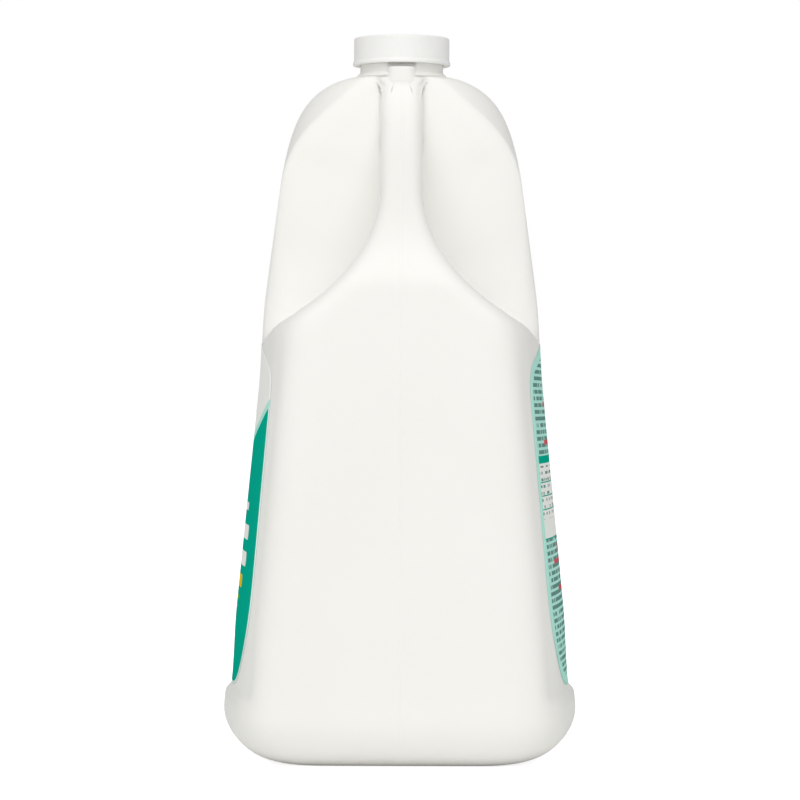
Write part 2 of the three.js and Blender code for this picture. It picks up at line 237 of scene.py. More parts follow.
def panel_set_back(z, across):
    """Depth of a label panel: a crisp step above the ledge, eased out at the waist and the edges."""
    ledge = LEDGE_SET_BACK * (1 - ease(LEDGE_HIGH, LEDGE_FADE, z))
    step = quarter_curve((LEDGE_HIGH - z) / (LEDGE_HIGH - LEDGE_LOW), 2, 1)
    in_height = step * (1 - ease(PANEL_FADE_LOW, WAIST_HEIGHT, z))
    return (PANEL_SET_BACK + ledge) * in_height * (1 - ease(PANEL_EDGE_IN, PANEL_EDGE_OUT, across))


def body_half(x, z):
    """Half thickness with no grip: half depth less crown and panel, times a quarter curve at the
    upright corners that widens into a half circle at the neck."""
    left, right = left_edge(z), right_edge(z)
    half = (right - left) / 2
    off = np.abs(x - (left + right) / 2)
    rounding = ease(ROUNDING_LOW, SHOULDER_TOP, z)
    run = mix(np.minimum(CORNER_RUN, half), half, rounding)
    power = CORNER_POWER ** (1 - rounding) * NECK_END_POWER**rounding
    crown = off**2 * (1 - rounding) / (2 * FACE_RADIUS)
    face = half_depth(z) - crown - panel_set_back(z, off / np.maximum(half, MM))
    return face * quarter_curve(1 - (half - off) / np.maximum(run, MM), 2, power)


print("half thickness at the label's middle:", round(float(body_half(0.0, 103.0)), 2))

# %% [markdown]
# ## The grip
# On the right the mould pinches the body in from both sides and leaves a handle in the middle.
# Its foot spreads out in an arch to the full depth, an upright wall stands behind it, and between
# the two a hole goes right through for the fingers. The grip is a second thickness, and the jug
# takes the lesser of the two with a soft edge. The arch is then averaged over some height, as a
# mould's edges are eased. A thickness that falls to nothing at the hole's rim makes the hole.

# %% Grip thickness
HANDLE_HALF_WIDTH = 8.8
HANDLE_TOP_FLARE, HANDLE_FLARE_LOW, HANDLE_FLARE_HIGH = 1.5, 262.0, 282.0
HANDLE_ROUND, HANDLE_POWER, ROOT_POWER = 11.0, 4.0, 12.0
HANDLE_EASE = 8.0
HOLE_X, HOLE_Z = 47.0, 205.0
HOLE_TOWARD, HOLE_REACH, HOLE_POWER = (189.0, 46.0, -84.0), (19.7, 15.0, 22.0), 7
WALL_LEAN, WALL_X = math.tan(math.radians(-9)), 27.0
WALL_RISE, WALL_RUN = 50.0, 3.5
ROOT_RADIUS_OUT, ROOT_RADIUS_IN = 59.0, 24.0
ROOT_END_OUT, ROOT_END_IN, ROOT_STEEPNESS = 181.0, 188.0, 7.0
LEDGE_EDGE, WALL_EDGE, WALL_EDGE_HIGH = 24.0, 26.0, 235.0
ARCH_LOW, ARCH_FULL, ARCH_FADE, ARCH_END = 164.0, 178.0, 200.0, 225.0
ARCH_SIDE, ARCH_STEPS = (10.0, 40.0), np.linspace(-12, 12, 9)
ARCH_WEIGHTS = np.array([1, 8, 28, 56, 70, 56, 28, 8, 1]) / 256


def wall_edge(z):
    """Where the wall behind the handle stands: a straight line that leans back."""
    return WALL_X + WALL_LEAN * (z - HOLE_Z)


def handle_half_width(z):
    """Half width of the handle, a little more at its top."""
    return HANDLE_HALF_WIDTH + HANDLE_TOP_FLARE * ease(HANDLE_FLARE_LOW, HANDLE_FLARE_HIGH, z)


def grip_half(x, z):
    """Half thickness of the handle: its half width, plus a quarter circle at its foot that grows
    with the distance from the wall, plus a steep root rise at the wall, with a rounded back."""
    right, wall = right_edge(z), wall_edge(z)
    outward = np.clip((x - wall) / np.maximum(right - wall, MM), 0, 1)
    radius = mix(ROOT_RADIUS_IN, ROOT_RADIUS_OUT, outward)
    below = mix(ROOT_END_IN, ROOT_END_OUT, outward) + radius - z
    foot = radius * (1 - quarter_curve(below / radius, 2, 2))
    foot += ROOT_STEEPNESS * np.maximum(below - radius, 0)
    behind = WALL_RISE * np.sqrt(np.maximum(wall - x, 0) / WALL_RUN)
    power = mix(HANDLE_POWER, ROOT_POWER, np.clip(foot / radius, 0, 1))
    rounding = quarter_curve(1 - (right - x) / HANDLE_ROUND, 2, power)
    return (handle_half_width(z) + foot + behind) * rounding


def handle_half(x, z):
    """Half thickness of the handle alone, eased in from the wall, with a rounded back."""
    rounding = quarter_curve(1 - (right_edge(z) - x) / HANDLE_ROUND, 2, HANDLE_POWER)
    wall = wall_edge(z)
    return handle_half_width(z) * rounding * ease(wall - HANDLE_EASE, wall, x)


def hole_reach(angle):
    """Radius of the hole for the hand in a direction from its middle."""
    return rounded_reach(angle, HOLE_TOWARD, HOLE_REACH, HOLE_POWER)


def pinched_half(x, z):
    """The rounded lesser of body and grip, and nowhere less than the handle."""
    edge = mix(LEDGE_EDGE, WALL_EDGE, ease(ROOT_END_OUT, WALL_EDGE_HIGH, z))
    return np.maximum(rounded_least(body_half(x, z), grip_half(x, z), edge), handle_half(x, z))


def half_thickness(x, z):
    """The pinched body, averaged over nearby heights at the arch so that its ends run out softly,
    and falling to nothing at the rim of the hole."""
    half = pinched_half(x, z)
    near = [pinched_half(x + right_edge(z + up) - right_edge(z), z + up) for up in ARCH_STEPS]
    soft = np.tensordot(ARCH_WEIGHTS, np.stack(near), axes=1)
    arch = ease(ARCH_LOW, ARCH_FULL, z) * (1 - ease(ARCH_FADE, ARCH_END, z)) * ease(*ARCH_SIDE, x)
    dx, dz = x - HOLE_X, z - HOLE_Z
    from_hole = np.hypot(dx, dz) - hole_reach(np.arctan2(dz, dx))
    rim = quarter_curve(1 - from_hole / HANDLE_ROUND, 2, HANDLE_POWER)
    return mix(half, soft, arch) * rim


on_handle = half_thickness(np.array(62.0), np.array(240.0))
print("half thickness on the handle:", round(float(on_handle), 2))

# %% [markdown]
# ## Rays round the hole
# A jug with a handle has the form of a ring, so its skin can be one grid that wraps both ways:
# rays go round the hole, and along each ray the skin runs from the outline over the front to the
# rim of the hole, and back over the other side. A height field over a square grid would tear at
# the outline, and this grid doesn't. The outline's distance along each ray is found by halving,
# for all rays at once.

# %% Rays
FINE_RAYS, RAYS = 2880, 400
PROBES, HALVINGS = 60, 48
CHANGE_WEIGHT = 0.8


def outline_reach(angle):
    """Distance to the outline along each ray, by halving the span between inside and outside."""
    inside = np.zeros_like(angle)
    outside = np.full_like(angle, SHOULDER_TOP + BASE_WIDTH)
    for _ in range(HALVINGS):
        reach = (inside + outside) / 2
        x, z = HOLE_X + reach * np.cos(angle), HOLE_Z + reach * np.sin(angle)
        within = (z > 0) & (z < SHOULDER_TOP) & (x > left_edge(z)) & (x < right_edge(z))
        inside, outside = np.where(within, reach, inside), np.where(within, outside, reach)
    return inside


def along_ray(angle, inward):
    """Points at a share of the way in from the outline to the rim of the hole, for every ray."""
    reach = mix(outline_reach(angle)[:, None], hole_reach(angle)[:, None], inward)
    return HOLE_X + reach * np.cos(angle)[:, None], HOLE_Z + reach * np.sin(angle)[:, None]


def spaced_rays():
    """Directions that are even along the outline, and closer where the thickness changes from ray
    to ray: the running sum of both lengths is shared out evenly."""
    angle = np.linspace(0, 2 * np.pi, FINE_RAYS + 1)
    x, z = along_ray(angle, np.linspace(0, 1, PROBES + 1)[None, :-1])
    change = np.abs(np.diff(half_thickness(x[:, 1:], z[:, 1:]), axis=0)).max(axis=1)
    step = np.hypot(np.diff(x[:, 0]), np.diff(z[:, 0]))
    measure = np.concatenate([[0], np.cumsum(step + CHANGE_WEIGHT * change)])
    even = np.linspace(0, measure[-1], RAYS, endpoint=False)
    return np.interp(even, measure, angle)


ray_angle = spaced_rays()
widest = math.degrees(np.diff(ray_angle).max())
print("rays:", len(ray_angle), "widest step", round(widest, 2), "degrees")

# %% [markdown]
# ## Sections
# Along each ray the points are shared out by length, closer together where the line turns, and
# with a few more beside the parting line of the mould. All rays are shared out in one call: each
# ray's measure runs from 0 to 1, and twice the number of the ray is added, so that one long table
# holds them all.

# %% Sections of the front half
FINE_STEPS, STEPS = 1500, 104
TURN_WEIGHT, TURN_CROWDING = 22.0, 3.0
SEAM_STEPS = np.array([0.0, 0.12, 0.24, 0.36, 0.5, 0.7, 1.0])
LEAST_LENGTH, TABLE_PITCH = 1e-9, 2.0


def look_up(at, known, value):
    """Reads a value for each ray at the given places, from that ray's own rising table."""
    offset = TABLE_PITCH * np.arange(len(known))[:, None]
    flat = np.interp((at + offset).ravel(), (known + offset).ravel(), value.ravel())
    return flat.reshape(at.shape)


def front_sections(angle):
    """Points (x, y, z) of the front half: minus half thickness over each ray, shared out again."""
    inward = (1 - np.cos(np.linspace(0, np.pi, FINE_STEPS + 1)))[None, :] / 2
    x, z = along_ray(angle, inward)
    y = -half_thickness(x, z)
    y[:, [0, -1]] = 0
    line = np.stack([x, y, z], axis=-1)
    step = np.diff(line, axis=1)
    length = np.linalg.norm(step, axis=2)
    lean = step / np.maximum(length, LEAST_LENGTH)[..., None]
    turn = np.arccos(np.clip((lean[:, 1:] * lean[:, :-1]).sum(axis=2), -1, 1))
    turn = np.pad(turn, ((0, 0), (1, 0)))
    crowd = length + np.minimum(TURN_WEIGHT * turn, TURN_CROWDING * length)
    run = np.pad(np.cumsum(length, axis=1), ((0, 0), (1, 0)))
    measure = np.pad(np.cumsum(crowd, axis=1), ((0, 0), (1, 0)))
    measure /= measure[:, -1:]
    total = run[:, -1:]
    near_seam = look_up(SEAM_STEPS[None, :] / total, run / total, measure)
    rest = np.linspace(0, 1, STEPS + 2 - len(SEAM_STEPS))[None, 1:]
    at = np.concatenate([near_seam, mix(near_seam[:, -1:], 1, rest)], axis=1)
    return np.stack([look_up(at, measure, line[..., axis]) for axis in range(3)], axis=-1)


front = front_sections(ray_angle)
print("front half:", front.shape, "deepest", round(float(-front[..., 1].min()), 2), "mm")

# %% [markdown]
# ## The parting line and the foot
# Where the mould halves met, a blown jug keeps a fine raised line. It runs down the back of the
# handle and the narrow sides. Under the foot it is the thicker pinch where the tube of plastic was
# closed off, and the middle of the foot is dished up so that the jug stands on a ring. A bump map
# would show both, but as points they are also in the mesh.

# %% Parting line and dished foot
SEAM_HEIGHT, SEAM_HALF = 0.1, 0.5
PINCH_HEIGHT, PINCH_HALF, PINCH_LENGTH = 0.5, 0.9, 55.0
PUSH_UP, PUSH_UP_X, PUSH_UP_Y = 2.5, 62.0, 34.0
ON_FLOOR = 1e-3


def add_seam(points):
    """Moves points beside the outline outwards by a parabola across the parting line."""
    edge = points[:, 0, [0, 2]]
    along = np.roll(edge, -1, axis=0) - np.roll(edge, 1, axis=0)
    outward = np.stack([along[:, 1], -along[:, 0]], axis=1)
    outward /= np.linalg.norm(outward, axis=1)[:, None]
    beside = np.abs(points[..., 1]) < SEAM_HALF
    beside[:, len(SEAM_STEPS) :] = False
    beside &= (points[..., 2] > SIDE_HEEL / 2) & (points[..., 2] < HANDLE_TOP)
    rise = SEAM_HEIGHT * (1 - (points[..., 1] / SEAM_HALF) ** 2) * beside
    points[..., 0] += rise * outward[:, None, 0]
    points[..., 2] += rise * outward[:, None, 1]


def dish_foot(points):
    """Lifts the flat foot by a smooth hollow, less the pinched line across its middle."""
    x, y, z = np.moveaxis(points, -1, 0)
    flat = z < ON_FLOOR
    spread = (x / PUSH_UP_X) ** 2 + (y / PUSH_UP_Y) ** 2
    lift = PUSH_UP * np.maximum(1 - spread, 0) ** 2
    pinch = PINCH_HEIGHT * np.maximum(1 - (y / PINCH_HALF) ** 2, 0)
    pinch *= np.maximum(1 - (x / PINCH_LENGTH) ** 2, 0)
    points[..., 2] = np.where(flat, lift - np.minimum(pinch, lift), z)


add_seam(front)
dish_foot(front)
back = front[:, -2:0:-1] * np.array([1, -1, 1])
jug_shell = surface("jug_shell", np.concatenate([front, back], axis=1), wrap_rows=True)
told(jug_shell)

# %% [markdown]
# ## Neck and tab
# The neck is turned: a profile of radius and height goes round an upright axis. It has a sloping
# ring at its foot and is a plain pipe under the cap. On the handle's side a tapered tab ties the
# neck to the handle. Both belong to the same blown piece. They could stand inside the shell, but a
# Boolean that joins them with it leaves nothing inside the mesh.

# %% Turned profiles
TURN_COLUMNS = 128
CAP_LOW, CAP_HEIGHT, CAP_RADIUS = 292.2, 11.8, 20.5
CAP_WALL, FIT_GAP = 2.0, 0.3
NECK_LOW, NECK_RADIUS, NECK_FOOT_RADIUS = 281.0, 17.8, 18.2
RING_RADIUS, RING_LOW, RING_UNDER, RING_HEIGHT = 19.6, 287.1, 0.6, 2.0
UNDER_RING_FILLET, RING_ROUND, MOUTH_ROUND = 0.5, 0.3, 0.4
OVER_RING_FILLET, OVER_RING_UP = 0.6, 0.2


def arc(radius, z, size, start, end, count):
    """Points of a circle in a profile, from one angle to another in degrees."""
    angle = np.radians(np.linspace(start, end, count))
    return np.stack([radius + size * np.cos(angle), z + size * np.sin(angle)], axis=1)


def turned(name, profile):
    """A profile of radius and height turned about the neck's axis: x and y are radius times the
    cosine and the sine of the turn."""
    angle = np.linspace(0, 2 * np.pi, TURN_COLUMNS, endpoint=False)[None, :]
    radius, z = profile[:, :1], profile[:, 1:]
    x = NECK_X + radius * np.cos(angle)
    y = radius * np.sin(angle)
    return surface(name, np.stack([x, y, np.broadcast_to(z, x.shape)], axis=-1))


neck_top = CAP_LOW + CAP_HEIGHT - CAP_WALL - FIT_GAP
under_ring = RING_LOW - RING_UNDER - UNDER_RING_FILLET
over_ring = RING_LOW + RING_HEIGHT + OVER_RING_UP
neck_profile = np.concatenate(
    [
        [[0, NECK_LOW], [NECK_FOOT_RADIUS, NECK_LOW]],
        arc(NECK_FOOT_RADIUS + UNDER_RING_FILLET, under_ring, UNDER_RING_FILLET, 180, 90, 5),
        arc(RING_RADIUS - RING_ROUND, RING_LOW, RING_ROUND, -60, 40, 5),
        arc(NECK_RADIUS + OVER_RING_FILLET, over_ring, OVER_RING_FILLET, 230, 180, 5),
        arc(NECK_RADIUS - MOUTH_ROUND, neck_top - MOUTH_ROUND, MOUTH_ROUND, 0, 90, 5),
        [[0, neck_top]],
    ]
)
neck = turned("neck", neck_profile)
told(neck)

# %% Tab between handle and neck
TAB_LOW, TAB_TOP, TAB_ROUND = 279.0, 290.4, 0.7
TAB_TOP_HALF, TAB_WAIST_LOW, TAB_WAIST_HIGH = 7.2, 280.0, 287.5
TAB_INNER_X, TAB_OUTER_X, TAB_SUNK = NECK_X + 8.0, NECK_X + 20.6, 1.5
TAB_ROWS, TAB_TOP_ROWS, TAB_COLUMNS = 48, 9, 40


def tab_points():
    """The handle's own rounded section carried on upwards: its half width eases down to the tab's,
    its back stands upright, and both draw in over a quarter circle at the top."""
    side_rows, top_rows = np.linspace(0, 1, TAB_ROWS), 1 + np.linspace(0, 1, TAB_TOP_ROWS)[1:]
    up = np.concatenate([[0], side_rows, top_rows, [2]])[:, None]
    over = np.clip(up - 1, 0, 1) * np.pi / 2
    z = mix(TAB_LOW, TAB_TOP - TAB_ROUND, np.minimum(up, 1)) + TAB_ROUND * np.sin(over)
    draw_in = TAB_SUNK * (1 - ease(TAB_LOW, HANDLE_TOP, z)) + TAB_ROUND * (1 - np.cos(over))
    narrow = ease(TAB_WAIST_LOW, TAB_WAIST_HIGH, z)
    half = mix(handle_half_width(z), TAB_TOP_HALF, narrow) - draw_in
    outer = np.maximum(handle_edge(np.minimum(z, HANDLE_TOP)), TAB_OUTER_X) - draw_in
    inward = (1 - np.cos(np.linspace(0, np.pi / 2, TAB_COLUMNS)))[None, :]
    depth = inward * (outer - TAB_INNER_X)
    front = half * quarter_curve(1 - depth / HANDLE_ROUND, 2, HANDLE_POWER)
    x = np.concatenate([(outer - depth)[:, ::-1], (outer - depth)[:, 1:]], axis=1)
    y = np.concatenate([-front[:, ::-1], front[:, 1:]], axis=1)
    closing = np.ones_like(up)
    closing[[0, -1]] = 0
    middle = (TAB_INNER_X + TAB_OUTER_X) / 2
    points = [middle + closing * (x - middle), closing * y, np.broadcast_to(z, x.shape)]
    return np.stack(points, axis=-1)


tab = surface("tab", tab_points())
told(tab)


# %% Join the blown piece
def join_into(piece, others):
    """Unites closed meshes with a Boolean and keeps the result as the piece's own mesh."""
    for other in others:
        union = piece.modifiers.new("join", "BOOLEAN")
        union.operation, union.solver, union.object = "UNION", "MANIFOLD", other
    bpy.context.view_layer.update()
    evaluated = piece.evaluated_get(bpy.context.evaluated_depsgraph_get())
    joined = bpy.data.meshes.new_from_object(evaluated)
    piece.modifiers.clear()
    piece.data = joined
    for other in others:
        bpy.data.objects.remove(other)


join_into(jug_shell, [neck, tab])
told(jug_shell)

# %% [markdown]
# ## The joint of handle and shoulder
# In a blown piece the plastic runs over every joint in one soft skin, while shapes that are worked
# out one by one leave small pits where they meet. A voxel remesh would melt them, but it would blur
# the whole jug. Moving only the points near the joint, towards their neighbours and back again,
# keeps the rest.

# %% Smooth the joint of handle and shoulder
MELT_LOW, MELT_FULL, MELT_FADE, MELT_END = 258.0, 266.0, 278.0, 281.5
MELT_NEAR, MELT_FAR = 14.0, 22.0
MELT_STEPS = [0.5, -0.52] * 30


def melt(piece):
    """Moves the points near the handle's top towards the mean of their neighbours and then back by a
    touch more, again and again, which takes small pits away and keeps the larger form."""
    mesh = piece.data
    co = np.empty(len(mesh.vertices) * 3)
    ends = np.empty(len(mesh.edges) * 2, dtype=np.int32)
    mesh.vertices.foreach_get("co", co)
    mesh.edges.foreach_get("vertices", ends)
    co, (a, b) = co.reshape(-1, 3), ends.reshape(-1, 2).T
    count = np.bincount(ends, minlength=len(co))[:, None]
    z, off = co[:, 2] / MM, np.abs(co[:, 1]) / MM
    share = ease(MELT_LOW, MELT_FULL, z) * (1 - ease(MELT_FADE, MELT_END, z))
    share = (share * (1 - ease(MELT_NEAR, MELT_FAR, off)))[:, None]
    for step in MELT_STEPS:
        near = [np.bincount(a, at[b], len(at)) + np.bincount(b, at[a], len(at)) for at in co.T]
        co = co + step * share * (np.stack(near, axis=1) / count - co)
    mesh.vertices.foreach_set("co", co.ravel())
    mesh.update()
    print("points smoothed at the joint:", int((share > 0).sum()))


melt(jug_shell)

# %% [markdown]
# ## The cap
# The cap is a low moulded cup with a small lip at its foot and a rounded top edge. It could be a
# bevelled cylinder, but turned like the neck it gets each round from its own profile. Its top is a
# shallow sunk disc, with the round mark where the plastic entered the mould.

# %% Cap
CAP_LIP, CAP_LIP_HEIGHT, CAP_ROUND = 0.45, 1.7, 0.7
BORE_ROUND, LIP_FOOT_ROUND, LIP_TOP_ROUND, LIP_TOP_DROP = 0.2, 0.35, 0.4, 0.7
OVER_LIP_FILLET, OVER_LIP_UP = 0.5, 0.35
CAP_DISC_EDGE = [(17.6, 0), (17.3, 0.12), (17.0, 0.3), (16.6, 0.35)]
CAP_DISC_MARK = [(6.0, 0.35), (2.2, 0.35), (2.0, 0.5), (0, 0.52)]
cap_top = CAP_LOW + CAP_HEIGHT
cap_bore = NECK_RADIUS + FIT_GAP
cap_lip = CAP_RADIUS + CAP_LIP
lip_top = CAP_LOW + CAP_LIP_HEIGHT
bore_foot = CAP_LOW + BORE_ROUND
cap_profile = np.concatenate(
    [
        [[0, cap_top - CAP_WALL], [cap_bore, cap_top - CAP_WALL], [cap_bore, bore_foot]],
        arc(cap_bore + BORE_ROUND, bore_foot, BORE_ROUND, 180, 270, 4),
        arc(cap_lip - LIP_FOOT_ROUND, CAP_LOW + LIP_FOOT_ROUND, LIP_FOOT_ROUND, -90, 0, 6),
        arc(cap_lip - LIP_TOP_ROUND, lip_top - LIP_TOP_DROP, LIP_TOP_ROUND, 0, 55, 5),
        arc(CAP_RADIUS + OVER_LIP_FILLET, lip_top + OVER_LIP_UP, OVER_LIP_FILLET, 235, 180, 5),
        arc(CAP_RADIUS - CAP_ROUND, cap_top - CAP_ROUND, CAP_ROUND, 0, 90, 10),
        [[radius, cap_top - drop] for radius, drop in CAP_DISC_EDGE + CAP_DISC_MARK],
    ]
)
screw_cap = turned("screw_cap", cap_profile)
told(screw_cap)

# %% [markdown]
# ## The labels
# Each label is a sheet of printed film that lies on its panel. It could be cut from the shell's own
# faces, but a sheet of its own gets a clean edge. Its outline is an eight-sided shape with large
# round corners, in polar form. The sheet is a grid of rings, out over its face to the edge and back
# under it, and each point keeps its distance from the edge in an attribute, so that the print and a
# painted highlight along the front's edge can follow the edge.

# %% Label sheets
LABEL_LOW, LABEL_HIGH = 29.5, 174.0
LABEL_HALF_WIDTH, LABEL_LEAN = 88.5, 2.0
LABEL_SHOULDER_TOWARD, LABEL_SHOULDER_REACH = 77.0, 77.6
LABEL_FOOT_TOWARD, LABEL_FOOT_REACH = -51.0, 95.5
LABEL_POWER = 18
LABEL_CLEAR, LABEL_THICK = 0.1, 0.15
LABEL_ROUND, LABEL_RINGS = 360, 40
LABEL_MIDDLE = (LABEL_LOW + LABEL_HIGH) / 2
label_half_height = (LABEL_HIGH - LABEL_LOW) / 2
label_sides = [
    (LABEL_LEAN, LABEL_HALF_WIDTH),
    (LABEL_SHOULDER_TOWARD, LABEL_SHOULDER_REACH),
    (LABEL_FOOT_TOWARD, LABEL_FOOT_REACH),
]
label_toward = [90, -90] + [way for toward, _ in label_sides for way in (toward, 180 - toward)]
label_reach = [label_half_height] * 2 + [reach for _, reach in label_sides for _ in range(2)]


def label_sheet(name, side):
    """Rings of an eight-sided shape, from its middle to its edge over the face and back under it, at
    half the body's thickness plus a hair."""
    angle = np.linspace(0, 2 * np.pi, LABEL_ROUND, endpoint=False)[None, :]
    share = np.linspace(0, 1, LABEL_RINGS + 1)[:, None]
    share = np.concatenate([share, share[::-1]])
    lift = np.repeat([LABEL_CLEAR + LABEL_THICK, LABEL_CLEAR], LABEL_RINGS + 1)[:, None]
    reach = rounded_reach(angle, label_toward, label_reach, LABEL_POWER)
    x = share * reach * np.cos(angle)
    z = LABEL_MIDDLE + share * reach * np.sin(angle)
    y = side * (body_half(x, z) + lift)
    return surface(name, np.stack([x, y, z], axis=-1))


def mark_edge(piece):
    """Keeps at each point how far in from the label's edge it is, in millimetres."""
    co = np.empty(len(piece.data.vertices) * 3)
    piece.data.vertices.foreach_get("co", co)
    x, _, z = co.reshape(-1, 3).T / MM
    reach = rounded_reach(np.arctan2(z - LABEL_MIDDLE, x), label_toward, label_reach, LABEL_POWER)
    inset = reach - np.hypot(x, z - LABEL_MIDDLE)
    piece.data.attributes.new("edge_mm", "FLOAT", "POINT").data.foreach_set("value", inset)


front_film = label_sheet("front_film", -1)
back_film = label_sheet("back_film", 1)
for film in (front_film, back_film):
    mark_edge(film)
    told(film)

# %% [markdown]
# ## A short way to write shader nodes
# A finish is a graph of small nodes. Written out one by one they hide the idea, so a few helpers
# add a node, set its values and link what is a socket. A mask is a number that is 1 inside a
# shape and 0 outside it, and a print is a stack of masks that each lay one colour over the last.

# %% Node helpers
NOISE_LOW, NOISE_HIGH = 0.3, 0.7


class Graph:
    """A new material with its shader, and short calls that add nodes to it."""

    def __init__(self, name, **values):
        self.material = bpy.data.materials.new(name)
        self.material.use_nodes = True
        self.nodes = self.material.node_tree.nodes
        self.links = self.material.node_tree.links
        self.shader = self.nodes["Principled BSDF"]
        for socket, value in values.items():
            self.shader.inputs[socket.replace("_", " ")].default_value = value

    def put(self, socket, value):
        """Links an output to a socket, or sets the socket's value."""
        if isinstance(value, bpy.types.NodeSocket):
            self.links.new(value, socket)
        else:
            socket.default_value = value

    def math(self, operation, a, b=0.0):
        """The result of one sum."""
        node = self.nodes.new("ShaderNodeMath")
        node.operation = operation
        self.put(node.inputs[0], a)
        self.put(node.inputs[1], b)
        return node.outputs[0]

    def noise(self, scale, detail, vector=None):
        """Smooth random values on the object's own coordinates."""
        node = self.nodes.new("ShaderNodeTexNoise")
        node.inputs["Scale"].default_value = scale
        node.inputs["Detail"].default_value = detail
        self.put(node.inputs["Vector"], vector or self.place())
        return node.outputs["Fac"]

    def place(self):
        """The object's own coordinates, in metres."""
        return self.nodes.new("ShaderNodeTexCoord").outputs["Object"]

    def span(self, value, low, high, to_low, to_high):
        """A value carried from one span to another, held at its ends."""
        node = self.nodes.new("ShaderNodeMapRange")
        for socket, number in zip(node.inputs[:5], (value, low, high, to_low, to_high)):
            self.put(socket, number)
        return node.outputs[0]

    def vary(self, scale, low=0.0, high=1.0, detail=2.0):
        """Smooth random values, spread from low to high."""
        return self.span(self.noise(scale, detail), NOISE_LOW, NOISE_HIGH, low, high)

    def lay(self, under, over, mask):
        """One colour over another where the mask is 1."""
        node = self.nodes.new("ShaderNodeMix")
        node.data_type = "RGBA"
        self.put(node.inputs["Factor"], mask)
        self.put(node.inputs[6], under)
        self.put(node.inputs[7], over)
        return node.outputs[2]

    def bump(self, height, distance, strength, onto=None):
        """A normal that leans with a height, on top of another one."""
        node = self.nodes.new("ShaderNodeBump")
        node.inputs["Strength"].default_value = strength
        node.inputs["Distance"].default_value = distance
        self.put(node.inputs["Height"], height)
        if onto:
            self.put(node.inputs["Normal"], onto)
        return node.outputs[0]


def paint(red, green, blue):
    """A colour from 0 to 255 as a screen shows it, as the linear values that shaders use: the
    standard curve, which is straight near black and a power of 2.4 above."""
    seen = np.array([red, green, blue]) / 255
    linear = np.where(seen < 0.04045, seen / 12.92, ((seen + 0.055) / 1.055) ** 2.4)
    return (*linear.tolist(), 1.0)


print("a warm white as linear light:", np.round(paint(243, 242, 238), 3))

# %% [markdown]
# ## Blown plastic
# The jug is a slightly warm white polyethylene with a satin skin. Light goes a little way into it,
# so shadows on it are soft. The skin copies a blasted mould: a very fine grain, over broad shallow
# waves where the wall cooled unevenly. The grain and the waves are bumps, and a slow change of
# colour and gloss keeps the large faces from looking like paint.

# %% Jug plastic
JUG_LIGHT, JUG_WARM = paint(244, 243, 239), paint(241, 240, 235)
JUG_TONE_SCALE, JUG_GLOSS_SCALE, JUG_ROUGHNESS = 9.0, 38.0, (0.4, 0.47)
WAVE_SCALE, WAVE_HEIGHT, WAVE_STRENGTH = 32.0, 0.0006, 0.25
GRAIN_SCALE, GRAIN_HEIGHT, GRAIN_STRENGTH = 1500.0, 0.00006, 0.2
jug_white = Graph("jug_white_plastic", IOR=1.5, Subsurface_Weight=0.12, Subsurface_Scale=0.004)
jug_white.shader.inputs["Subsurface Radius"].default_value = (1.0, 0.9, 0.75)
colour = jug_white.lay(JUG_LIGHT, JUG_WARM, jug_white.vary(JUG_TONE_SCALE, detail=3.0))
jug_white.put(jug_white.shader.inputs["Base Color"], colour)
gloss = jug_white.vary(JUG_GLOSS_SCALE, *JUG_ROUGHNESS, detail=3.0)
jug_white.put(jug_white.shader.inputs["Roughness"], gloss)
waves = jug_white.bump(jug_white.noise(WAVE_SCALE, detail=1.0), WAVE_HEIGHT, WAVE_STRENGTH)
grain = jug_white.bump(jug_white.noise(GRAIN_SCALE, detail=2.0), GRAIN_HEIGHT, GRAIN_STRENGTH, waves)
jug_white.put(jug_white.shader.inputs["Normal"], grain)
print(jug_white.material.name, "nodes", len(jug_white.nodes))

# %% [markdown]
# ## Cap plastic
# The cap is moulded under pressure from a stiffer plastic, so it is a touch cooler and smoother
# than the jug, with fine lines from turning the mould that go round its axis.

# %% Cap plastic
CAP_LIGHT, CAP_COOL = paint(243, 243, 240), paint(240, 240, 237)
CAP_TONE_SCALE, CAP_GLOSS_SCALE, CAP_ROUGHNESS = 40.0, 120.0, (0.33, 0.4)
TURNING_SCALE, TURNING_HEIGHT, TURNING_STRENGTH = (120.0, 120.0, 5200.0), 0.00003, 0.25
cap_white = Graph("cap_white_plastic", IOR=1.5, Subsurface_Weight=0.08, Subsurface_Scale=0.003)
colour = cap_white.lay(CAP_LIGHT, CAP_COOL, cap_white.vary(CAP_TONE_SCALE))
cap_white.put(cap_white.shader.inputs["Base Color"], colour)
gloss = cap_white.vary(CAP_GLOSS_SCALE, *CAP_ROUGHNESS)
cap_white.put(cap_white.shader.inputs["Roughness"], gloss)
stretch = cap_white.nodes.new("ShaderNodeMapping")
stretch.inputs["Scale"].default_value = TURNING_SCALE
cap_white.links.new(cap_white.place(), stretch.inputs["Vector"])
turning = cap_white.noise(scale=1.0, detail=1.0, vector=stretch.outputs[0])
lines = cap_white.bump(turning, TURNING_HEIGHT, TURNING_STRENGTH)
cap_white.put(cap_white.shader.inputs["Normal"], lines)
print(cap_white.material.name, "nodes", len(cap_white.nodes))

# %% [markdown]
# ## Printed film
# Print on film is flat colour with crisp edges, here on a matte film that ripples a little. It
# could be an image, but shapes worked out from the coordinates stay sharp at any size. The masks
# below are boxes with round corners, which can be discs, bands, and rows of short bars.

# %% Shapes of the print
ON_EDGE = 1e-6
ROW_SHIFT = 0.618
RIPPLE_SCALE, RIPPLE_HEIGHT, RIPPLE_STRENGTH = 45.0, 0.0005, 0.15
TOOTH_SCALE, TOOTH_HEIGHT, TOOTH_STRENGTH = 900.0, 0.00004, 0.1
FILM_GLOSS_SCALE, FILM_ROUGHNESS = 60.0, (0.5, 0.6)


